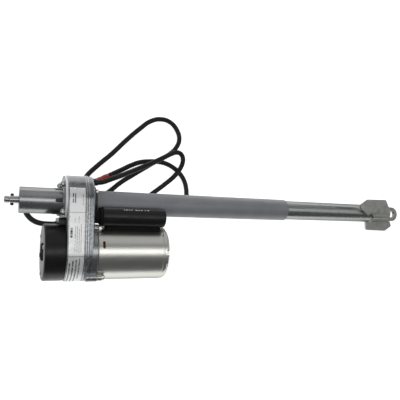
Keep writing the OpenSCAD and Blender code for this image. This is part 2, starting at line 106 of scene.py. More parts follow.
class Shader:
    """A Principled material and short ways to add procedural nodes to it."""

    def __init__(self, name, colour, roughness, metallic=0.0, **sockets):
        self.material = bpy.data.materials.new(name)
        self.material.use_nodes = True
        self.tree = self.material.node_tree
        self.surface = self.tree.nodes["Principled BSDF"]
        self.set(Base_Color=colour, Roughness=roughness, Metallic=metallic, **sockets)
        self.coords = self.node("ShaderNodeTexCoord").outputs["Object"]
        self.relief = None

    def feed(self, socket, value):
        """Links an output to a socket, or sets the socket to a number or a colour."""
        if isinstance(value, bpy.types.NodeSocket):
            self.tree.links.new(value, socket)
        elif socket.type == "RGBA":
            socket.default_value = (*value, 1.0)
        else:
            socket.default_value = value

    def set(self, **sockets):
        """Feeds sockets of the surface, named with an underscore for a space."""
        for socket, value in sockets.items():
            self.feed(self.surface.inputs[socket.replace("_", " ")], value)

    def node(self, kind, settings=None, **inputs):
        """Adds a node with these settings and feeds its inputs, named the same way."""
        made = self.tree.nodes.new(kind)
        for key, value in (settings or {}).items():
            setattr(made, key, value)
        for socket, value in inputs.items():
            self.feed(made.inputs[socket.replace("_", " ")], value)
        return made

    def stretched(self, scale):
        return self.node("ShaderNodeMapping", Scale=scale, Vector=self.coords).outputs["Vector"]

    def noise(self, scale, detail=4.0, stretch=(1, 1, 1)):
        return self.node("ShaderNodeTexNoise", Scale=scale, Detail=detail, Roughness=NOISE_ROUGHNESS,
                         Vector=self.stretched(stretch)).outputs["Fac"]

    def cells(self, scale, output="Distance"):
        return self.node("ShaderNodeTexVoronoi", Scale=scale, Vector=self.stretched((1, 1, 1))).outputs[output]

    def waves(self, scale, direction):
        return self.node("ShaderNodeTexWave", {"bands_direction": direction}, Scale=scale,
                         Vector=self.coords).outputs["Fac"]

    def remap(self, value, low_in, high_in, low_out, high_out):
        return self.node("ShaderNodeMapRange", From_Min=low_in, From_Max=high_in, To_Min=low_out,
                         To_Max=high_out, Value=value).outputs["Result"]

    def spread(self, noise, low, high):
        """Takes the span that most of a noise's values lie in to low and high."""
        return self.remap(noise, 0.3, 0.7, low, high)

    def maths(self, operation, a, b):
        made = self.node("ShaderNodeMath", {"operation": operation})
        for socket, value in zip(made.inputs, (a, b)):
            self.feed(socket, value)
        return made.outputs["Value"]

    def mix(self, factor, a, b):
        made = self.node("ShaderNodeMix", {"data_type": "RGBA"}, Factor=factor)
        for socket, value in zip([s for s in made.inputs if s.type == "RGBA"], (a, b)):
            self.feed(socket, value)
        return [s for s in made.outputs if s.type == "RGBA"][0]

    def tones(self, factor, colour, low, high):
        """A colour that runs from low to high times the one given."""
        return self.mix(factor, shade(colour, low), shade(colour, high))

    def colour(self, source):
        self.set(Base_Color=source)

    def roughness(self, source):
        self.set(Roughness=source)

    def bump(self, height, distance, strength):
        """Adds one more layer of relief, distance metres deep, over what is there."""
        below = {"Normal": self.relief} if self.relief else {}
        self.relief = self.node("ShaderNodeBump", Distance=distance, Strength=strength, Height=height,
                                **below).outputs["Normal"]
        self.set(Normal=self.relief)

    def edges(self):
        """1 along convex edges, 0 elsewhere."""
        return self.remap(self.node("ShaderNodeNewGeometry").outputs["Pointiness"], 0.5, 0.56, 0.0, 1.0)


def paint(name, colour, roughness):
    s = Shader(name, colour, roughness)
    tone = s.tones(s.remap(s.noise(45.0, 5.0), 0.35, 0.7, 0.0, 1.0), colour, 0.93, 1.08)
    scuffs = s.remap(s.noise(160.0, 6.0, (1, 6, 6)), 0.66, 0.74, 0.0, 0.35)
    s.colour(s.mix(scuffs, tone, shade(colour, 1.7)))
    s.roughness(s.spread(s.noise(90.0, 6.0), roughness - 0.06, roughness + 0.1))
    s.bump(s.noise(700.0, 3.0), 0.00003, 0.5)
    return s.material


def plate_lit_rim_shaded_faces(name, rim, face):
    """Plate with a near-white rim, partly a painted highlight, and its two flat sides painted dark grey as painted
    shade.
    """
    s = Shader(name, rim, 0.42, 0.05)
    split = s.node("ShaderNodeSeparateXYZ", Vector=s.node("ShaderNodeNewGeometry").outputs["Normal"])
    flat = s.remap(s.maths("ABSOLUTE", split.outputs["X"], 0.0), 0.6, 0.8, 0.0, 1.0)
    streaks = s.noise(60.0, 5.0, (1, 30, 30))
    # Flat sides take the dark face colour, painted shade; the rim takes the near-white colour, partly a painted
    # highlight
    s.colour(s.mix(flat, s.tones(streaks, rim, 0.95, 1.0), s.tones(streaks, face, 0.85, 1.12)))
    s.roughness(s.spread(streaks, 0.36, 0.48))
    s.bump(streaks, 0.00001, 0.5)
    return s.material


# Dark reflection tint near grazing angles: painted shade that dims the metal's reflections towards its edges
GRAZING_PAINTED_SHADE = (0.30, 0.30, 0.29)


def bead_blasted(name, colour):
    """Turned and blasted steel with a soft sheen, fine turning lines and faint stains."""
    # Specular tint: painted shade in the reflections near grazing angles
    s = Shader(name, colour, 0.3, 0.92, Specular_Tint=GRAZING_PAINTED_SHADE)
    lines = s.noise(420.0, 3.0, (1, 0.05, 0.05))
    stains = s.noise(34.0, 5.0)
    s.colour(s.tones(s.spread(stains, 0.0, 1.0), colour, 0.9, 1.07))
    s.roughness(s.maths("ADD", s.spread(lines, 0.26, 0.32), s.remap(stains, 0.6, 0.8, 0.0, 0.05)))
    s.bump(lines, 0.000006, 0.5)
    return s.material


def cast_metal(name, colour, roughness, contrast, grain=0.00009, metallic=0.9, patch=28.0):
    s = Shader(name, colour, roughness, metallic)
    fine = s.noise(420.0, 6.0)
    tone = s.tones(s.spread(s.noise(patch, 6.0), 0.0, 1.0), colour, 0.95 - contrast, 0.95 + contrast)
    pits = s.remap(s.cells(380.0), 0.0, 0.28, 1.0, 0.0)
    tone = s.mix(s.maths("MULTIPLY", pits, 0.45), tone, shade(colour, 0.35))
    s.colour(s.mix(s.edges(), tone, tuple(min(1.0, c * 1.5) for c in colour)))
    s.roughness(s.spread(fine, roughness - 0.12, roughness + 0.16))
    s.bump(s.noise(95.0, 5.0), grain * 2.2, 0.7)
    s.bump(fine, grain, 0.8)
    return s.material


def brushed_metal(name, colour):
    """Half-dull rolled sheet with streaks round it and smudges."""
    s = Shader(name, colour, 0.5, 0.3)
    streaks = s.noise(50.0, 5.0, (1, 10, 10))
    s.colour(s.tones(s.spread(streaks, 0.0, 1.0), colour, 0.88, 1.06))
    smudges = s.remap(s.noise(35.0, 6.0), 0.35, 0.75, -0.05, 0.1)
    s.roughness(s.maths("ADD", s.spread(streaks, 0.45, 0.56), smudges))
    s.bump(streaks, 0.00001, 0.6)
    return s.material


def satin_plating(name, colour):
    """Smooth plated sheet: a fine satin grain with faint handling marks."""
    # Specular tint: painted shade in the reflections near grazing angles
    s = Shader(name, colour, 0.31, 1.0, Specular_Tint=GRAZING_PAINTED_SHADE)
    s.colour(s.tones(s.spread(s.noise(14.0, 4.0), 0.0, 1.0), colour, 0.96, 1.03))
    marks = s.remap(s.noise(60.0, 5.0, (1, 0.4, 0.4)), 0.64, 0.78, 0.0, 0.04)
    s.roughness(s.maths("ADD", s.spread(s.noise(260.0, 2.0, (0.2, 1, 1)), 0.30, 0.33), marks))
    return s.material


def drawn_zinc(name, colour):
    """Zinc-plated drawn tube: soft streaks along X with faint spangle and rub marks."""
    # Specular tint: painted shade in the reflections near grazing angles
    s = Shader(name, colour, 0.27, 0.95, Specular_Tint=GRAZING_PAINTED_SHADE)
    streaks = s.noise(90.0, 5.0, (0.06, 1, 1))
    tone = s.tones(s.spread(streaks, 0.0, 1.0), colour, 0.86, 1.07)
    spangle = s.node("ShaderNodeRGBToBW", Color=s.cells(210.0, "Color")).outputs["Val"]
    tone = s.mix(s.remap(spangle, 0.3, 0.8, 0.0, 0.22), tone, shade(colour, 0.8))
    rubs = s.remap(s.noise(46.0, 7.0, (0.5, 1, 1)), 0.64, 0.74, 0.0, 0.55)
    s.colour(s.mix(rubs, tone, shade(colour, 0.5)))
    s.roughness(s.spread(streaks, 0.22, 0.34))
    s.bump(streaks, 0.00001, 0.5)
    return s.material


def moulding(name, colour, roughness, grain=0.00002, coat=0.0, specular=0.5):
    s = Shader(name, colour, roughness, Coat_Weight=coat, Coat_Roughness=0.2, Specular_IOR_Level=specular)
    s.colour(s.tones(s.noise(60.0, 5.0), colour, 0.75, 1.35))
    s.roughness(s.spread(s.noise(110.0, 6.0), roughness - 0.07, roughness + 0.12))
    s.bump(s.noise(1500.0, 2.0), grain, 0.5)
    return s.material


def cord_jacket(name, colour):
    s = Shader(name, colour, 0.46, Specular_IOR_Level=0.34)
    s.colour(s.tones(s.noise(70.0, 4.0), colour, 0.7, 1.6))
    s.roughness(s.spread(s.noise(160.0, 5.0), 0.40, 0.56))
    s.bump(s.noise(900.0, 3.0), 0.00003, 0.6)
    s.bump(s.noise(120.0, 3.0), 0.00015, 0.4)
    return s.material


def laminated(name, colour):
    s = Shader(name, colour, 0.4, 0.9)
    sheets = s.waves(320.0, "X")
    s.colour(s.tones(sheets, colour, 0.45, 1.2))
    s.bump(sheets, 0.0001, 0.6)
    return s.material


def windings(name, colour):
    s = Shader(name, colour, 0.25, 0.6, Coat_Weight=0.6)
    wires = s.noise(260.0, 4.0, (1, 0.2, 0.2))
    s.colour(s.tones(s.remap(wires, 0.35, 0.65, 0.0, 1.0), colour, 0.3, 1.3))
    s.bump(wires, 0.0004, 0.9)
    return s.material


def turned_metal(name, colour, roughness):
    s = Shader(name, colour, roughness, 1.0)
    rings = s.noise(900.0, 3.0, (1, 0.02, 0.02))
    s.colour(s.tones(s.noise(120.0, 5.0), colour, 0.8, 1.1))
    s.roughness(s.spread(rings, roughness - 0.05, roughness + 0.12))
    s.bump(rings, 0.00002, 0.7)
    return s.material


LABEL_FACE = (0.93, 0.93, 0.93)
LABEL_INK = (0.05, 0.05, 0.06)
LABEL_LIGHT_INK = (0.3, 0.31, 0.33)
# Plain bars that stand for the print: across from, to, along from, to in mm, then 1 where broken in words
LABEL_DARK_BARS = [(0, 19, 31.5, 31.9, 0), (0, 19, 85.5, 86.1, 0), (3.5, 4.8, 8, 13, 0),
                   (3.5, 4.8, 14.5, 20, 0), (6.2, 7.4, 8, 20, 0), (1.8, 4.4, 50, 63, 1), (1.2, 2.8, 94, 138, 1),
                   (5.2, 6.8, 90, 138, 1), (9.2, 10.6, 90, 138, 1), (13, 14.2, 88, 120, 1)]
LABEL_PALE_BARS = [(15.8, 16.6, 8, 22, 1), (7.2, 8, 49, 81, 1), (9.6, 10.4, 49, 80, 1), (12, 12.8, 52, 81, 1),
                   (14.4, 15.2, 46, 80, 1), (6.6, 7.4, 38, 44, 1), (11.2, 12, 36, 45, 1)]


def printed_label(name):
    """Foil label: U runs across it and V along it, both in metres."""
    s = Shader(name, LABEL_FACE, 0.32, 0.3)
    split = s.node("ShaderNodeSeparateXYZ", Vector=s.node("ShaderNodeTexCoord").outputs["UV"])
    across, along = split.outputs["X"], split.outputs["Y"]

    def words(seed):
        made = s.node("ShaderNodeTexNoise", {"noise_dimensions": "1D"}, Scale=900.0, Detail=2.0,
                      W=s.maths("ADD", along, seed))
        return s.maths("GREATER_THAN", made.outputs["Fac"], 0.44)

    def bars(rows):
        total = 0.0
        for number, (*limits, broken) in enumerate(rows):
            u0, u1, v0, v1 = (limit * MM for limit in limits)
            inside = words(number * 0.37) if broken else 1.0
            for test in (("GREATER_THAN", across, u0), ("LESS_THAN", across, u1),
                         ("GREATER_THAN", along, v0), ("LESS_THAN", along, v1)):
                inside = s.maths("MULTIPLY", inside, s.maths(*test))
            total = s.maths("MAXIMUM", total, inside)
        return total

    foil = s.tones(s.noise(120.0, 5.0), LABEL_FACE, 0.97, 1.05)
    inked = s.mix(bars(LABEL_PALE_BARS), foil, LABEL_LIGHT_INK)
    s.colour(s.mix(bars(LABEL_DARK_BARS), inked, LABEL_INK))
    s.roughness(s.spread(s.noise(200.0, 5.0), 0.26, 0.4))
    s.bump(s.noise(60.0, 4.0), 0.0001, 0.3)
    return s.material


MATERIALS = {
    "painted_housing": bead_blasted("painted_housing", (0.37, 0.38, 0.385)),
    # Rim near white, partly a painted highlight; flat sides dark grey, painted shade
    "bright_plate": plate_lit_rim_shaded_faces("bright_plate", (0.96, 0.96, 0.965), (0.20, 0.205, 0.21)),
    "zinc_fasteners": turned_metal("zinc_fasteners", (0.62, 0.61, 0.57), 0.26),
    "cast_aluminium": cast_metal("cast_aluminium", (0.27, 0.28, 0.288), 0.29, 0.3),
    "gasket": moulding("gasket", (0.02, 0.02, 0.02), 0.6),
    "label": printed_label("label"),
    "bearing_steel": turned_metal("bearing_steel", (0.6, 0.61, 0.63), 0.16),
    "painted_tube": paint("painted_tube", (0.275, 0.285, 0.305), 0.42),
    "flange_steel": paint("flange_steel", (0.03, 0.03, 0.032), 0.45),
    "bush_nylon": moulding("bush_nylon", (0.7, 0.68, 0.6), 0.4),
    "motor_steel": satin_plating("motor_steel", (0.78, 0.775, 0.73)),
    "lamination": laminated("lamination", (0.3, 0.31, 0.33)),
    "winding": windings("winding", (0.5, 0.17, 0.05)),
    "black_plastic": moulding("black_plastic", (0.010, 0.0092, 0.0105), 0.34, coat=0.08, specular=0.32),
    "black_rubber": moulding("black_rubber", (0.010, 0.010, 0.010), 0.75, specular=0.12),
    "brake_steel": brushed_metal("brake_steel", (0.15, 0.153, 0.156)),
    "cord_jacket": cord_jacket("cord_jacket", (0.0065, 0.0062, 0.0065)),
    "red_sleeve": moulding("red_sleeve", (0.4, 0.05, 0.018), 0.42, 0.00005),
    "connector_nylon": moulding("connector_nylon", (0.72, 0.7, 0.64), 0.45),
    "gear_brass": turned_metal("gear_brass", (0.7, 0.5, 0.2), 0.26),
    "gear_steel": turned_metal("gear_steel", (0.36, 0.36, 0.37), 0.3),
    "screw_steel": turned_metal("screw_steel", (0.5, 0.5, 0.5), 0.24),
    "galvanised_tube": drawn_zinc("galvanised_tube", (0.50, 0.53, 0.515)),
    "nut_acetal": moulding("nut_acetal", (0.78, 0.77, 0.72), 0.38),
    "cast_bracket": cast_metal("cast_bracket", (0.27, 0.275, 0.255), 0.36, 0.45, 0.00045, 0.8, 150.0),
}
SLOT_OF = {row["node"]: row["material_slot"] for row in frame["record"]["subparts"]}
BODY_OF = {node: body for body, nodes in frame["record"]["behaviour"]["bodies"].items() for node in nodes}


# ---- Mesh helpers ----

SHARP = math.radians(32)
WELD = 1e-6


def shade_by_angle(mesh):
    """Smooth faces, with the edges that turn sharply marked sharp."""
    bm = bmesh.new()
    bm.from_mesh(mesh)
    for face in bm.faces:
        face.smooth = True
    for edge in bm.edges:
        edge.smooth = len(edge.link_faces) == 2 and edge.calc_face_angle(0.0) < SHARP
    bm.to_mesh(mesh)
    bm.free()


def mesh_of(name, bm, weld=WELD):
    if weld:
        bmesh.ops.remove_doubles(bm, verts=bm.verts, dist=weld)
    bmesh.ops.recalc_face_normals(bm, faces=bm.faces)
    mesh = bpy.data.meshes.new(name)
    bm.to_mesh(mesh)
    bm.free()
    shade_by_angle(mesh)
    return mesh


def piece(name, mesh, node, slot=None):
    """A finished mesh as an object that rides where the CAD node rides, and stands for it."""
    thing = bpy.data.objects.new(name, mesh)
    bpy.context.scene.collection.objects.link(thing)
    slot = slot or SLOT_OF[node]
    mesh.materials.append(MATERIALS[slot])
    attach(thing, BODY_OF[node])
    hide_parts(node)
    return thing


def built(name, bm, node, slot=None, weld=0):
    """A piece from solids put together in bm."""
    return piece(name, mesh_of(name, bm, weld), node, slot)


def fillet(points, radii, steps=5):
    """A closed outline with its corners rounded: radii has one radius for each point, 0 for a sharp one."""
    out = []
    count = len(points)
    for i, here in enumerate(points):
        here = Vector(here)
        if radii[i] <= 0:
            out.append(tuple(here))
            continue
        before = (Vector(points[i - 1]) - here)
        after = (Vector(points[(i + 1) % count]) - here)
        half = before.angle(after) / 2
        reach = min(radii[i] / math.tan(half), before.length * 0.49, after.length * 0.49)
        radius = reach * math.tan(half)
        start, end = here + before.normalized() * reach, here + after.normalized() * reach
        centre = here + (before.normalized() + after.normalized()).normalized() * (radius / math.sin(half))
        a, b = start - centre, end - centre
        sweep = a.angle_signed(b)
        for k in range(steps + 1):
            turn = -sweep * k / steps
            out.append((centre.x + a.x * math.cos(turn) - a.y * math.sin(turn),
                        centre.y + a.x * math.sin(turn) + a.y * math.cos(turn)))
    return out


def box_outline(u0, v0, u1, v1, radius=0.0, steps=4):
    """A rectangle between two corners, its corners rounded."""
    return fillet([(u0, v0), (u1, v0), (u1, v1), (u0, v1)], [radius] * 4, steps)


def around(count):
    """Equal steps round a full turn, in radians."""
    return [2 * math.pi * k / count for k in range(count)]


def polar(radius, angle, centre=(0.0, 0.0)):
    return centre[0] + radius * math.cos(angle), centre[1] + radius * math.sin(angle)


def circle(radius, count, centre=(0.0, 0.0)):
    return [polar(radius, angle, centre) for angle in around(count)]


def arc(x, r, radius, first, last, steps=6):
    """Points round a corner whose centre is (x, r), from one angle to the other in degrees."""
    return [polar(radius, math.radians(first + (last - first) * k / steps), (x, r)) for k in range(steps + 1)]


def radial(degrees, axis=SCREW_AXIS):
    """A function that places (x, outward, sideways) at this angle round an axis along X."""
    centre = HOME + Vector((0.0, *axis))
    turn = Matrix.Rotation(math.radians(degrees), 3, "X")
    return lambda x, outward, sideways: centre + turn @ Vector((x, outward, sideways))


def turned(name, profile, node, axis=SCREW_AXIS, segments=128, slot=None):
    """A piece from a closed profile of (x, radius) points turned round an axis along X."""
    bm = bmesh.new()
    rings = [[bm.verts.new(at(x, *polar(r, angle, axis))) for x, r in profile] for angle in around(segments)]
    for here, there in zip(rings, rings[1:] + rings[:1]):
        for i in range(len(profile)):
            j = (i + 1) % len(profile)
            if max(profile[i][1], profile[j][1]) > 0.0:
                bm.faces.new((here[i], here[j], there[j], there[i]))
    bmesh.ops.remove_doubles(bm, verts=bm.verts, dist=WELD)
    bmesh.ops.dissolve_degenerate(bm, edges=bm.edges, dist=1e-8)
    return built(name, bm, node, slot, WELD)


def cut(thing, bm):
    """Takes the shape in bm out of the object for good."""
    cutter = bpy.data.objects.new("cutter", mesh_of("cutter", bm))
    bpy.context.scene.collection.objects.link(cutter)
    modifier = thing.modifiers.new("cut", "BOOLEAN")
    modifier.operation = "DIFFERENCE"
    modifier.solver = "EXACT"
    modifier.object = cutter
    bpy.context.view_layer.update()
    graph = bpy.context.evaluated_depsgraph_get()
    mesh = bpy.data.meshes.new_from_object(thing.evaluated_get(graph))
    thing.modifiers.clear()
    thing.data = mesh
    bpy.data.objects.remove(cutter)
    shade_by_angle(mesh)


def bevelled(thing, width, segments, angle):
    modifier = thing.modifiers.new("bevel", "BEVEL")
    modifier.width = width
    modifier.segments = segments
    modifier.limit_method = "ANGLE"
    modifier.angle_limit = math.radians(angle)
    modifier.harden_normals = True
    return thing


def loft_rings(bm, rings):
    """Adds a solid through rings of points that match one for one, closed at both ends."""
    made = [[bm.verts.new(point) for point in ring] for ring in rings]
    bm.faces.new(made[0][::-1])
    bm.faces.new(made[-1])
    for lower, upper in zip(made, made[1:]):
        for k in range(len(lower)):
            j = (k + 1) % len(lower)
            bm.faces.new((lower[k], lower[j], upper[j], upper[k]))


def prism(bm, outline, place, low, high):
    """Adds a solid between two heights: place(u, v, height) gives the row-frame point."""
    loft_rings(bm, [[place(u, v, height) for u, v in outline] for height in (low, high)])


def across_tube(u, v, height):
    return at(height, u, v)


# Up a hexagon head: share of its height, size, whether round
HEX_SECTIONS = ((0.0, 0.97, True), (0.1, 1.0, False), (0.72, 1.0, False), (1.0, 0.93, True))


def hex_head(bm, centre, x0, x1, radius):
    """A hexagon head along X with a chamfered crown, its free end at x1, and a thin washer face."""
    flat = radius * math.cos(math.pi / 6)
    rings = []
    for share, size, is_round in HEX_SECTIONS:
        ring = []
        for angle in around(36):
            r = flat / math.cos((angle % (math.pi / 3)) - math.pi / 6)
            r = min(r, flat * 1.02 * size) if is_round else r * size
            ring.append(at(x0 + (x1 - x0) * share, *polar(r, angle, centre)))
        rings.append(ring)
    loft_rings(bm, rings)


def rod(bm, centre, x0, x1, radius, segments, edge):
    """A round bar along X, its far end chamfered by edge."""
    sections = ((x0, radius), (x1 - math.copysign(edge, x1 - x0), radius), (x1, radius - edge))
    loft_rings(bm, [[at(x, y, z) for y, z in circle(r, segments, centre)] for x, r in sections])


# ---- Cords: the route points of the CAD model, in millimetres ----

CORD_DIAMETER = 0.007


def route(*points):
    return [tuple(value * MM for value in point) for point in points]


START_LEAD = route((28.6, 32.6, -22.8), (31, 37.5, -26.5), (36, 43.5, -30.5), (43, 50.5, -33), (53, 60, -33.5),
                   (66, 72, -33.5), (86, 93, -33.5), (107, 113, -33.5), (122, 125, -33.5), (138, 130, -33.5),
                   (153, 127, -33.5), (164, 116, -33.5), (168, 102, -33.5), (163, 89, -33.5), (154, 80, -31.5),
                   (142, 72, -27), (128, 64, -26), (114, 55, -29), (96, 43, -33.5), (80, 32, -33.5),
                   (66, 20, -33.5), (54, 11, -32), (45, 6, -28.5), (39, 5, -27))
MOTOR_LEAD = route((39, 26, 7), (47, 27.5, 5.5), (58, 32, 2.5), (70, 37, -2.5), (84, 43.5, -9.5),
                   (98, 50, -15.3), (112, 56.5, -18), (126, 63.5, -18.5), (139, 70.5, -19.2),
                   (150, 76.5, -21.3), (160, 80.5, -24), (168, 79.5, -26.3), (172, 73.5, -27.3),
                   (171, 64.5, -26.8), (166, 55, -25.7), (158, 44.5, -27.2), (147, 34, -31.5),
                   (134, 23.5, -33.5), (118, 12, -33.5), (102, 3, -33.5), (90, -7, -33.2), (83, -18, -29),
                   (80, -29, -21))
SUPPLY_CORD = route((39, 28.5, -9), (47, 32, -11), (58, 38, -16.5), (70, 44.5, -23), (82, 51, -29),
                    (94, 57.5, -32.8), (107, 63, -33.5), (121, 65.5, -33.5), (135, 66, -33.5), (148, 64, -33.5),
                    (160, 58.5, -33.5), (170, 50.5, -33.5), (177, 40.5, -33.5), (180.5, 29, -33.5),
                    (182, 17, -33.5), (188, 6.5, -33.5), (199, 0.5, -33.5), (214, -1, -33.5), (230, 0, -33.5),
                    (246, 0, -33.5))
BRAKE_LEAD = route((-10, -29.2, -19.3), (-17, -29.2, -20.2), (-26, -28.5, -22.5), (-34, -26, -26),
                   (-41, -20.5, -30), (-45.5, -13, -32.5), (-46, -4.5, -33.5), (-40, 3, -33.5),
                   (-31, 6.5, -31.5), (-21, 6.5, -28.5), (-9, 5, -26))


def make_cord(name, points, node):
    curve = bpy.data.curves.new(name, "CURVE")
    curve.dimensions = "3D"
    curve.bevel_depth = CORD_DIAMETER / 2
    curve.bevel_resolution = 7
    curve.resolution_u = 10
    curve.use_fill_caps = True
    spline = curve.splines.new("BEZIER")
    spline.bezier_points.add(len(points) - 1)
    for point, place in zip(spline.bezier_points, points):
        point.co = at(*place)
        point.handle_left_type = point.handle_right_type = "AUTO"
    cord = bpy.data.objects.new(name, curve)
    bpy.context.scene.collection.objects.link(cord)
    curve.materials.append(MATERIALS["cord_jacket"])
    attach(cord, "housing")
    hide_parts(node)
    return cord


start_lead = make_cord("start_lead_cord", START_LEAD, "start_lead")
motor_lead = make_cord("motor_lead_cord", MOTOR_LEAD, "motor_lead")
supply_cord = make_cord("supply_cord_jacket", SUPPLY_CORD, "supply_cord")
brake_lead = make_cord("brake_lead_cord", BRAKE_LEAD, "brake_lead")


# ---- Stage, lights and world ----

FLOOR_GLOW = 0.86
STRIP_HEIGHT = 1.1


def make_stage():
    bm = bmesh.new()
    bmesh.ops.create_grid(bm, x_segments=1, y_segments=1, size=4.0)
    mesh = bpy.data.meshes.new("floor")
    bm.to_mesh(mesh)
    bm.free()
    floor = bpy.data.objects.new("floor", mesh)
    floor.location.z = FLOOR_Z
    bpy.context.scene.collection.objects.link(floor)
    s = Shader("floor", (0.9, 0.9, 0.9), 0.9, Specular_IOR_Level=0.0, Emission_Color=(1, 1, 1),
               Emission_Strength=FLOOR_GLOW)
    mesh.materials.append(s.material)


def make_area(name, place, aim, size, radiance):
    """A soft rectangular light whose face has the given brightness."""
    data = bpy.data.lights.new(name, "AREA")
    data.shape = "RECTANGLE"
    data.size, data.size_y = size
    data.energy = radiance * math.pi * size[0] * size[1]
    light = bpy.data.objects.new(name, data)
    place, aim = at(*place), at(*aim)
    light.location = place
    light.rotation_euler = (aim - place).to_track_quat("-Z", "Y").to_euler()
    bpy.context.scene.collection.objects.link(light)


def make_lights():
    middle = (0.15, -0.03, 0.0)
    make_area("overhead_strip", (0.15, 0.02, STRIP_HEIGHT), (0.15, 0.0, 0.0), (2.2, 0.40), 1.8)
    make_area("back_softbox", (0.15, 1.15, 0.75), middle, (2.6, 1.2), 0.38)
    make_area("left_softbox", (-1.3, 0.2, 0.8), middle, (1.0, 1.0), 0.9)
    make_area("right_softbox", (1.6, 0.2, 0.8), middle, (0.8, 0.8), 0.5)
    world = bpy.data.worlds.new("world")
    world.use_nodes = True
    bpy.context.scene.world = world
    background = world.node_tree.nodes["Background"]
    background.inputs["Color"].default_value = (0.95, 0.98, 1.0, 1.0)
    background.inputs["Strength"].default_value = 0.08
    bpy.context.scene.view_settings.view_transform = "Standard"


make_stage()
make_lights()


# ---- Gearbox: two lobes and the straight sides between them ----

UPPER_LOBE_R = 0.034
LOWER_LOBE_R = 0.037
LOBE_ARC_STEPS = 64


def lobe_outline(inset):
    """The gearbox outline as (y, z) points, shrunk by inset, anticlockwise from the top lobe's lower tangent."""
    upper, lower = UPPER_LOBE_R - inset, LOWER_LOBE_R - inset
    tangent = math.acos((lower - upper) / AXIS_GAP)
    steps = range(LOBE_ARC_STEPS + 1)
    sweep = 2 * (math.pi - tangent)
    return ([polar(upper, -tangent + 2 * tangent * k / LOBE_ARC_STEPS) for k in steps]
            + [polar(lower, tangent + sweep * k / LOBE_ARC_STEPS, MOTOR_AXIS) for k in steps])


def lobe_shell(bm, sections):
    """Lofts the gearbox outline through (x, inset) sections, kept above the floor."""
    loft_rings(bm, [[at(x, y, max(z, -LOWER_LOBE_R)) for y, z in lobe_outline(inset)] for x, inset in sections])


def quarter(x, inset, radius, from_face):
    """(x, inset) points round a convex edge; from_face is -1 at a rear edge and 1 at a front edge."""
    angles = [math.pi / 2 * k / 5 for k in range(6)]
    points = [(x - from_face * radius * (1 - math.sin(a)), inset + radius * (1 - math.cos(a))) for a in angles]
    return points if from_face > 0 else points[::-1]


JOINT_X = 0.0237
GASKET_FRONT_X = 0.0242
LUGS = [(y - AXIS_GAP, z) for y in (0.031, -0.031) for z in (0.0245, -0.0245)]


def make_gearbox():
    bm = bmesh.new()
    lobe_shell(bm, quarter(0.0, 0.0, 0.0012, -1) + [(0.0216, 0.0), (0.0221, -0.0005), (0.0235, -0.0005),
                                                   (JOINT_X, -0.0003), (JOINT_X, 0.003), (0.003, 0.003)])
    built("gearbox_cover_casting", bm, "gearbox_cover", weld=WELD)
    bm = bmesh.new()
    lobe_shell(bm, [(JOINT_X, 0.0004), (GASKET_FRONT_X, 0.0004), (GASKET_FRONT_X, 0.003), (JOINT_X, 0.003),
                    (JOINT_X, 0.0004)])
    built("gearbox_joint_gasket", bm, "gearbox_gasket", weld=WELD)

    bm = bmesh.new()
    lobe_shell(bm, [(0.030, 0.003), (GASKET_FRONT_X, 0.003), (GASKET_FRONT_X, -0.0003), (0.0244, -0.0005),
                    (0.0262, -0.0005), (0.0268, 0.0002)] + quarter(0.033, 0.0004, 0.0026, 1))
    for y, z in LUGS:
        loft_rings(bm, [[at(x, y + (u - y) * share, z + (v - z) * share) for u, v in circle(0.005, 28, (y, z))]
                        for x, share in ((0.0243, 0.9), (0.0248, 1.0), (0.0383, 1.0), (0.039, 0.88))])
        base = Vector((y, z))
        toward = (Vector(MOTOR_AXIS) - base).normalized() * 0.006
        side = Vector((-toward.y, toward.x)).normalized() * 0.0044
        web = [base + side, base - side, base - side * 1.25 + toward, base + side * 1.25 + toward]
        prism(bm, web, across_tube, 0.0246, 0.0384)
    casting = built("gearbox_housing_casting", bm, "gearbox_housing", weld=WELD)
    bevelled(casting, 0.0003, 2, 50)

    crown = [(0.0375 + 0.0012 * math.sin(a), 0.0354 + 0.0012 * math.cos(a))
             for a in (math.radians(d) for d in (0, 22, 45, 68, 90))]
    turned("motor_adaptor_ring", [(0.0246, 0.0335), (0.0246, 0.0362), *crown, (0.039, 0.0352), (0.039, 0.0315),
                                  (0.030, 0.0315)], "gearbox_housing", MOTOR_AXIS, slot="painted_housing")
    turned("tube_spigot", [(0.0322, 0.0), (0.0322, 0.0168), (0.0332, 0.017), (0.0336, 0.0166), (0.0336, 0.0)],
           "gearbox_housing")


LABEL_X0, LABEL_X1 = 0.0015, 0.0205
LABEL_LIFT = 0.00022
LABEL_TOP_Y = 0.016


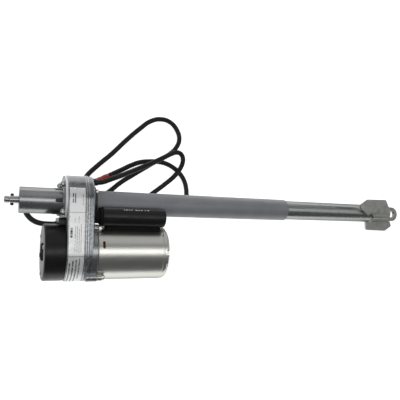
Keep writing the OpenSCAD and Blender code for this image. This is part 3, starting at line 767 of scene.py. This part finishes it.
def make_label():
    """A foil strip wrapped over the gearbox's side and the lower lobe."""
    path = lobe_outline(-LABEL_LIFT)
    start = max(range(len(path)), key=lambda i: path[i][1] if path[i][0] > 0.015 and path[i][1] > 0 else -1)
    strip = [Vector((LABEL_TOP_Y, math.sqrt((UPPER_LOBE_R + LABEL_LIFT) ** 2 - LABEL_TOP_Y ** 2)))]
    strip += [Vector(p) for p in path[start:] if p[0] < 0.0155 and not (p[0] < -AXIS_GAP and p[1] < -0.004)]
    lengths = [0.0]
    for a, b in zip(strip, strip[1:]):
        lengths.append(lengths[-1] + (b - a).length)
    bm = bmesh.new()
    uv = bm.loops.layers.uv.new("UVMap")
    columns = ((LABEL_X0, 0.0), (LABEL_X0 + 0.0006, 0.00003), (LABEL_X1 - 0.0006, 0.00003), (LABEL_X1, 0.0))
    rows = []
    for point, run in zip(strip, lengths):
        centre = Vector((max(-AXIS_GAP, min(0.0, point.x)), 0.0))
        out = (point - centre).normalized() if point.x > 0 or point.x < -AXIS_GAP else Vector((0, 1))
        rows.append([(bm.verts.new(at(x, point.x + out.x * up, point.y + out.y * up)), (x - LABEL_X0, run))
                     for x, up in columns])
    for row, following in zip(rows, rows[1:]):
        for k in range(len(columns) - 1):
            corners = (row[k], row[k + 1], following[k + 1], following[k])
            face = bm.faces.new([corner[0] for corner in corners])
            for loop, corner in zip(face.loops, corners):
                loop[uv].uv = corner[1]
    mesh = bpy.data.meshes.new("rating_label_foil")
    bmesh.ops.recalc_face_normals(bm, faces=bm.faces)
    bm.to_mesh(mesh)
    bm.free()
    for polygon in mesh.polygons:
        polygon.use_smooth = True
    label = piece("rating_label_foil", mesh, "rating_label")
    thick = label.modifiers.new("thickness", "SOLIDIFY")
    thick.thickness = 0.0002
    thick.offset = 0.0


# ---- Rear end: bearing housing, plate and bolts ----

def make_rear_housing():
    r = 0.0165
    profile = [(-0.0515, 0.0), (-0.0515, 0.0053), (-0.0555, 0.0053), (-0.0555, r - 0.0007), (-0.0554, r - 0.0003),
               (-0.0548, r), (-0.016, r), (-0.0148, r + 0.0004), (-0.0036, r + 0.0004), (-0.003, r + 0.0009),
               (-0.003, 0.014), (-0.0045, 0.014), (-0.0045, 0.0)]
    body = turned("rear_housing_tube", profile, "rear_housing", segments=144)

    def pockets(rear_x, front_x, rear_half, front_half, rear_round, front_round, levels):
        """Six tapered solids round the housing, through (rise from its skin, width) levels."""
        outline = fillet([(rear_x, -rear_half), (front_x, -front_half), (front_x, front_half), (rear_x, rear_half)],
                         [rear_round, front_round, front_round, rear_round], 6)
        bm = bmesh.new()
        for k in range(6):
            place = radial(30 + 60 * k)
            loft_rings(bm, [[place(x, r + rise, w * width) for x, w in outline] for rise, width in levels])
        return bm

    cut(body, pockets(-0.0136, -0.0042, 0.0022, 0.0026, 0.0019, 0.0008, ((-0.0022, 0.85), (0.0030, 1.25))))
    bevelled(body, 0.00035, 3, 40)
    # Thin dark pads on the pockets' floors: painted shade in the pockets
    painted_shade_pads = pockets(-0.0133, -0.0044, 0.0019, 0.0022, 0.0016, 0.0006, ((-0.0024, 1), (-0.0017, 1)))
    built("rear_housing_pocket_painted_shade", painted_shade_pads, "rear_housing", "flange_steel")


def make_bolts():
    def spots(radius, degrees, axis=SCREW_AXIS):
        return [polar(radius, math.radians(d), axis) for d in degrees]

    bm = bmesh.new()
    for centre in spots(0.028, (40, 120, 240, 320)):
        rod(bm, centre, -0.0030, -0.0037, 0.0056, 36, 0.0001)
        hex_head(bm, centre, -0.0037, -0.0071, 0.0044)
        rod(bm, centre, -0.0071, -0.0085, 0.0022, 24, 0.0004)
    built("plate_bolt_heads", bm, "plate_bolts", "gear_steel")
    bm = bmesh.new()
    for y, z in LUGS:
        lift = 0.005 if y < -AXIS_GAP else 0.0
        rod(bm, (y, z), 0.0390, 0.0396 + lift, 0.0044, 32, 0.0001)
        hex_head(bm, (y, z), 0.0396 + lift, 0.0430 + lift, 0.0038)
        rod(bm, (y, z), 0.0430 + lift, 0.0440 + lift, 0.0024, 24, 0.0004)
    built("motor_bolt_heads", bm, "motor_bolts")
    for name, axis, circle_r, x0, x1, head_r in (("flange_screw", SCREW_AXIS, 0.0192, 0.0370, 0.0395, 0.0029),
                                                 ("end_cap_screw", MOTOR_AXIS, 0.022, 0.1338, 0.1356, 0.0031)):
        bm = bmesh.new()
        for centre in spots(circle_r, (45, 135, 225, 315), axis):
            hex_head(bm, centre, x0, x1, head_r)
        built(name + "_heads", bm, name + "s")
    bm = bmesh.new()
    for centre in spots(0.028, (75, 195, 315), MOTOR_AXIS):
        rod(bm, centre, -0.0260, -0.0274, 0.0024, 32, 0.0005)
    built("brake_screw_heads", bm, "brake_end_screws")


# ---- Motor, capacitor and brake ----

def make_motor():
    r = 0.0355
    can = turned("motor_can_shell", [(0.039, r - 0.002), (0.0391, r - 0.0002), (0.0394, r), (0.1250, r),
                                     (0.1253, r - 0.0003), (0.1253, r - 0.002)], "motor_can", MOTOR_AXIS, 192)
    bm = bmesh.new()
    prism(bm, box_outline(0.0440, -0.0590, 0.0472, -0.0500, 0.0015, 6), at, 0.020, 0.050)
    cut(can, bm)

    end, corner = 0.134, 0.006
    bell = [(0.1256, 0.0), (0.1256, r - 0.0002), (0.1260, r), *arc(end - corner, r - corner, corner, 90, 0, 10),
            (end, 0.0130), (end - 0.0006, 0.0122), (end - 0.0006, 0.0)]
    cap = turned("motor_end_bell", bell, "motor_end_cap", MOTOR_AXIS, 144)
    bm = bmesh.new()
    notch = fillet([(-0.0036, 0.0290), (0.0036, 0.0290), (0.0042, 0.040), (-0.0042, 0.040)],
                   [0.0008, 0.0008, 0, 0], 4)
    for degrees in (28, 90, 115, 170, 230, 290):
        place = radial(degrees, MOTOR_AXIS)
        loft_rings(bm, [[place(x, v, w) for w, v in notch] for x in (0.1288, 0.1370)])
    cut(cap, bm)
    bevelled(cap, 0.0003, 2, 40)
    turned("motor_can_crimp", [(0.1238, r), (0.1240, r + 0.0002), (0.1250, r + 0.0002), (0.1253, r)],
           "motor_can", MOTOR_AXIS, 160)


def make_capacitor():
    """A wrapped can: nearly round, with four soft folds of the wrap running along it."""
    r = 0.0130
    folds = [(math.radians(74), 0.00022), (math.radians(118), 0.0003), (math.radians(205), 0.00025),
             (math.radians(310), 0.0002)]

    def radius(angle, share):
        extra = sum(height * math.exp(-((angle - place + math.pi) % (2 * math.pi) - math.pi) ** 2 / 0.003)
                    for place, height in folds)
        return (r - 0.0003 + extra) * share

    sections = [(0.0442, 0.86), (0.0442, 0.985), (0.0450, 1.0)]
    sections += [(0.0450 + 0.0790 * k / 24, 1.0) for k in range(1, 24)]
    sections += [(0.1255 + 0.0015 * math.sin(a), 1 - 0.115 * (1 - math.cos(a))) for a in
                 (math.radians(d) for d in range(0, 91, 15))]
    sections += [(0.1268, 0.70), (0.1262, 0.66), (0.1262, 0.2)]
    bm = bmesh.new()
    rings = []
    for x, share in sections:
        sway = 0.00008 * math.sin(x * 190)
        rings.append([at(x, *polar(radius(a, share) + sway, a, CAPACITOR_AXIS)) for a in around(96)])
    loft_rings(bm, rings)
    built("capacitor_can", bm, "capacitor", weld=WELD)
    bm = bmesh.new()
    marks = math.radians(48)
    for x, length in ((0.0700, 0.0014), (0.0725, 0.0026), (0.0765, 0.0012), (0.0790, 0.0020), (0.0850, 0.0032),
                      (0.0896, 0.0014), (0.0925, 0.0022), (0.0975, 0.0012), (0.1005, 0.0030)):
        loft_rings(bm, [[at(u, *polar(r + up, marks + v / r, CAPACITOR_AXIS))
                         for u, v in box_outline(x, -0.0004, x + length, 0.0004)] for up in (-0.0006, 0.00002)])
    built("capacitor_print_marks", bm, "capacitor", "label")
    boot = [(0.0332, 0.0), (0.0332, 0.0092), (0.0385, 0.0092), (0.0394, 0.0090), (0.0398, 0.0085), (0.0400, 0.0105),
            *arc(0.0412, 0.0104, 0.0011, 180, 90, 4), (0.0442, 0.0120), (0.0450, 0.0118), (0.0450, 0.0)]
    turned("capacitor_end_boot", boot, "capacitor_boot", CAPACITOR_AXIS, 96)


def make_brake():
    r = 0.036
    cup = [(-0.0252, 0.008), (-0.0252, r - 0.0020), *arc(-0.0238, r - 0.0014, 0.0014, 180, 90, 5), (-0.0024, r),
           (-0.0020, r - 0.0004), (-0.0004, r - 0.0004), (0.0, r - 0.0008), (0.0, r - 0.0025),
           (-0.0232, r - 0.0025), (-0.0232, 0.008)]
    turned("brake_cover_cup", cup, "brake_cover", MOTOR_AXIS, 160)
    disc = [(-0.0260, 0.0), (-0.0260, r - 0.0016), (-0.0258, r - 0.0012), (-0.0256, r - 0.0010),
            (-0.0253, r - 0.0010), (-0.0252, r - 0.0014), (-0.0252, 0.0)]
    turned("brake_end_disc", disc, "brake_end_plate", MOTOR_AXIS)
    bm = bmesh.new()
    prism(bm, box_outline(-0.075, 0.008, -0.053, 0.017, 0.0015), across_tube, -0.0260, -0.0284)
    prism(bm, box_outline(-0.0735, 0.0105, -0.0545, 0.0145, 0.0008, 3), across_tube, -0.0283, -0.0292)
    rod(bm, (-0.068, 0.0125), -0.0280, -0.0300, 0.003, 32, 0.0005)
    bevelled(built("brake_release_clip", bm, "brake_clip"), 0.0003, 2, 40)


# ---- Tubes and rod ----

def make_tubes():
    r = 0.016
    turned("outer_tube_skin", [(0.033, 0.0151), (0.033, r), (0.3302, r), (0.3307, r - 0.0002), (0.331, r - 0.0005),
                               (0.331, 0.0151)], "outer_tube", segments=160)
    turned("tube_flange_ring", [(0.033, r + 0.0001), (0.033, 0.0220), *arc(0.0360, 0.0212, 0.0010, 90, 0, 5),
                                (0.0370, 0.0180), (0.0376, 0.0170), (0.0392, r + 0.0003), (0.0392, r + 0.0001)],
           "tube_flange")
    turned("wiper_lip", [(0.329, 0.0145), (0.329, 0.0151), (0.3308, 0.0151), (0.3316, 0.0149), (0.3319, 0.01446)],
           "wiper_seal")

    r = 0.0144
    tube = turned("inner_tube_skin", [(0.156, 0.0128), (0.156, r), (0.4994, r), (0.4998, r - 0.0002),
                                      (0.500, r - 0.0005), (0.500, 0.0128)], "inner_tube", segments=160)
    bm = bmesh.new()
    for x, degrees, radius in ((0.4150, 60, 0.0016), (0.4700, 76, 0.0014)):
        place = radial(degrees)
        loft_rings(bm, [[place(x + u, r + rise, v) for u, v in circle(radius * size, 24)]
                        for rise, size in ((-0.0009, 0.55), (-0.0003, 0.9), (0.001, 1.25))])
    cut(tube, bm)
    bm = bmesh.new()
    place = radial(-62)
    loft_rings(bm, [[place(x, r - 0.00018 + 0.00032 * math.sin(a), 0.0007 * math.cos(a)) for a in around(12)]
                    for x in (0.1565, 0.33, 0.4993)])
    built("inner_tube_seam", bm, "inner_tube", weld=WELD)


def make_screw():
    tip, r = -0.073, 0.0045
    lead, crest, root = 0.005, 0.008, 0.0066
    shaft = [(tip, 0.0), (tip, r - 0.0011), (tip + 0.0002, r - 0.0009), (tip + 0.0010, r - 0.0001),
             (tip + 0.0014, r), (-0.0670, r), (-0.0668, r - 0.0006), (-0.0661, r - 0.0006), (-0.0659, r + 0.0003),
             (-0.0656, r + 0.0005), (-0.048, r + 0.0005), (-0.048, 0.006), (0.036, 0.006), (0.036, root),
             (0.280, root), (0.280, 0.005), (0.284, 0.005), (0.284, 0.0)]
    turned("screw_shaft", shaft, "drive_screw", segments=96)
    steps_per_turn = 36
    turns = int((0.2795 - 0.0365) / lead)
    section = [(-0.0018, root - 0.0003), (-0.0009, crest), (0.0009, crest), (0.0018, root - 0.0003)]
    bm = bmesh.new()
    loft_rings(bm, [[at(0.0385 + lead * k / steps_per_turn + dx, *polar(radius, 2 * math.pi * k / steps_per_turn))
                     for dx, radius in section] for k in range(turns * steps_per_turn + 1)])
    built("screw_thread", bm, "drive_screw")
    bm = bmesh.new()
    x, pin_r, half = -0.0635, 0.0021, 0.0075
    sections = ((-half, 0.55), (-half + 0.0006, 0.9), (-half + 0.0012, 1.0), (half - 0.0012, 1.0),
                (half - 0.0006, 0.9), (half, 0.55))
    loft_rings(bm, [[at(x + u, y, v) for u, v in circle(pin_r * share, 40)] for y, share in sections])
    built("crank_roll_pin", bm, "crank_pin", weld=WELD)


# ---- Front bracket: two cast cheeks on a web, with the eye between them ----

NEAR_CHEEK = [(0.468, 0.012), (0.484, 0.022), (0.524, 0.023), (0.529, 0.013), (0.534, 0.005), (0.533, -0.006),
              (0.500, -0.006), (0.494, 0.000), (0.486, -0.004), (0.472, 0.004)]
FAR_CHEEK = [(0.504, -0.012), (0.505, -0.028), (0.547, -0.029), (0.562, -0.020), (0.553, -0.003), (0.500, 0.008)]
EYE_X = 0.551
EYE_R = 0.012
EYE_HOLE_R = 0.0061


def make_bracket():
    bm = bmesh.new()
    prism(bm, fillet(NEAR_CHEEK, [0.002, 0.004, 0.004, 0.003, 0.003, 0.004, 0.002, 0.002, 0.001, 0.002], 5),
          at, 0.0144, 0.0180)
    bevelled(built("bracket_near_cheek", bm, "front_bracket"), 0.0009, 3, 40)
    bm = bmesh.new()
    prism(bm, fillet(FAR_CHEEK, [0.002, 0.003, 0.004, 0.004, 0.003, 0.002], 5), at, -0.0128, -0.0092)
    far_cheek = built("bracket_far_cheek", bm, "front_bracket")
    bm = bmesh.new()
    prism(bm, box_outline(-0.009, -0.0105, 0.009, 0.0158, 0.002), across_tube, 0.5005, 0.531)
    ridge = fillet([(-0.0025, 0.0140), (0.0012, 0.0140), (0.0006, 0.0188), (-0.0019, 0.0188)],
                   [0, 0, 0.0008, 0.0008], 4)
    prism(bm, ridge, across_tube, 0.4950, 0.5260)
    bevelled(built("bracket_web", bm, "front_bracket"), 0.0012, 3, 40)
    bm = bmesh.new()
    nose = [polar(EYE_R, math.radians(d), (EYE_X, 0.0)) for d in range(-84, 85, 6)]
    prism(bm, [(0.501, -EYE_R), (EYE_X, -EYE_R), *nose, (EYE_X, EYE_R), (0.501, EYE_R)], at, -0.003, 0.003)
    tongue = built("bracket_tongue", bm, "front_bracket")
    for drilled in (tongue, far_cheek):
        bm = bmesh.new()
        prism(bm, circle(EYE_HOLE_R, 64, (EYE_X, 0.0)), at, -0.020, 0.020)
        cut(drilled, bm)
        bevelled(drilled, 0.0007, 3, 50)
    plug = [(0.476, 0.0), (0.476, 0.0118), (0.477, 0.0127), (0.4995, 0.0127), (0.5000, 0.0145), (0.5012, 0.0150),
            (0.5040, 0.0140), (0.5060, 0.0110), (0.5060, 0.0)]
    turned("bracket_plug", plug, "front_bracket", segments=96)


# ---- Glands, sleeve and connector ----

def ring_round(centre, side, up, radius):
    """Points round a centre, in the plane of two directions."""
    return [centre + (side * math.cos(a) + up * math.sin(a)) * radius for a in around(40)]


def turned_along(bm, base, direction, profile):
    """Adds a solid of (distance, radius) points turned round a line that starts at base."""
    direction = Vector(direction).normalized()
    side = direction.orthogonal().normalized()
    up = direction.cross(side)
    loft_rings(bm, [ring_round(at(*base) + direction * d, side, up, r) for d, r in profile])


GLAND_PROFILE = [(-0.001, 0.0054), (0.0006, 0.0054), (0.0009, 0.0051), (0.0010, 0.0046), (0.0020, 0.00455),
                 (0.0022, 0.0042), (0.0030, 0.0042), (0.0032, 0.0045), (0.0042, 0.0044), (0.0044, 0.0041),
                 (0.0052, 0.0041), (0.0054, 0.0043), (0.0064, 0.0042), (0.0070, 0.0037)]


def make_glands():
    bm = bmesh.new()
    for x, y, z, toward in ((0.033, 0.026, 0.007, 1), (0.033, 0.0285, -0.009, 1), (0.033, 0.005, -0.027, 1),
                            (-0.003, 0.005, -0.026, -1), (-0.003, -0.0292, -0.0193, -1)):
        turned_along(bm, (x, y, z), (toward, 0, 0), GLAND_PROFILE)
    for x, radius, degrees, axis in ((0.0286, 0.0338, -35, SCREW_AXIS), (0.080, 0.0354, -30, MOTOR_AXIS)):
        angle = math.radians(degrees)
        turned_along(bm, (x, *polar(radius, angle, axis)), (0, *polar(1, angle)), GLAND_PROFILE)
    saddle = [(-0.0365, -0.0215), (-0.0305, -0.0235), (-0.0268, -0.0195), (-0.0300, -0.0145), (-0.0355, -0.0165)]
    prism(bm, saddle, across_tube, -0.0020, -0.0090)
    block = fillet([(-0.0305, -0.0215), (-0.0212, -0.0215), (-0.0212, 0.0150), (-0.0312, 0.0150)],
                   [0.001, 0.002, 0.003, 0.001], 4)
    prism(bm, block, across_tube, -0.0003, -0.0085)
    return bevelled(built("cord_gland_set", bm, "cord_glands"), 0.0002, 2, 50)


def bend_points(through, steps):
    """Points of a smooth curve through the ones given."""
    points = [Vector(p) for p in through]
    out = []
    for i in range(len(points) - 1):
        p0 = points[max(0, i - 1)]
        p1, p2 = points[i], points[i + 1]
        p3 = points[min(len(points) - 1, i + 2)]
        for k in range(steps):
            t = k / steps
            out.append(0.5 * (2 * p1 + (p2 - p0) * t + (2 * p0 - 5 * p1 + 4 * p2 - p3) * t * t
                              + (3 * p1 - 3 * p2 + p3 - p0) * t ** 3))
    out.append(points[-1])
    return out


def make_sleeve():
    centre = bend_points(SUPPLY_CORD[:3], 12)
    last = len(centre) - 1
    bm = bmesh.new()
    rings = []
    for i, point in enumerate(centre):
        ahead = (centre[min(i + 1, last)] - centre[max(i - 1, 0)]).normalized()
        side = Vector((0, 0, 1)).cross(ahead).normalized()
        share = i / last
        radius = 0.0041 + 0.00015 * math.sin(share * 19)
        radius -= 0.0004 * max(0.0, 1 - share * 14) + 0.0005 * max(0.0, (share - 0.93) * 14)
        rings.append(ring_round(at(*point), side, ahead.cross(side), radius))
    loft_rings(bm, rings)
    return built("supply_cord_sleeve", bm, "supply_sleeve", weld=WELD)


def make_connector():
    bm = bmesh.new()
    prism(bm, box_outline(0.250, -0.009, 0.282, 0.009, 0.0012), at, -0.0370, -0.0270)
    prism(bm, box_outline(0.254, -0.003, 0.274, 0.003, 0.001, 3), at, -0.0271, -0.0257)
    for y in (-0.0078, 0.0066):
        prism(bm, box_outline(0.252, y, 0.280, y + 0.0012), at, -0.0272, -0.0264)
    turned_along(bm, (0.2462, 0, -0.0328), (1, 0, 0), [(0, 0.0038), (0.0006, 0.0042), (0.0042, 0.0042)])
    housing = built("supply_plug_housing", bm, "supply_connector")
    bm = bmesh.new()
    for y in (-0.0062, -0.0020, 0.0022, 0.0064):
        prism(bm, box_outline(y - 0.0015, -0.0348, y + 0.0015, -0.0300, 0.0004, 3), across_tube, 0.2740, 0.2840)
    cut(housing, bm)
    return bevelled(housing, 0.0003, 2, 50)


make_gearbox()
make_label()
make_rear_housing()
make_bolts()
make_motor()
make_capacitor()
make_brake()
make_tubes()
make_screw()
make_bracket()
gland_set = make_glands()
sleeve = make_sleeve()
connector = make_connector()


# ---- CAD nodes that stay: a better finish and softened edges ----

SOFT_EDGE = {"bearing_plate": 0.0004, "drive_nut": 0.0003, "screw_gear": 0.00015, "cluster_gear": 0.00015,
             "motor_pinion": 0.00012, "screw_lock_nut": 0.0003, "end_stop_washer": 0.0003,
             "capacitor_cradle": 0.0004, "rotor_core": 0.0002, "brake_disc": 0.0003}


def dress(node):
    thing = frame["nodes"][node]
    thing.data.materials.clear()
    thing.data.materials.append(MATERIALS[SLOT_OF[node]])
    weld = thing.modifiers.new("weld", "WELD")
    weld.merge_threshold = 0.000002
    if node in SOFT_EDGE:
        bevel = bevelled(thing, SOFT_EDGE[node], 2, 38).modifiers["bevel"]
        bevel.harden_normals = False


for cad_node in frame["nodes"]:
    dress(cad_node)
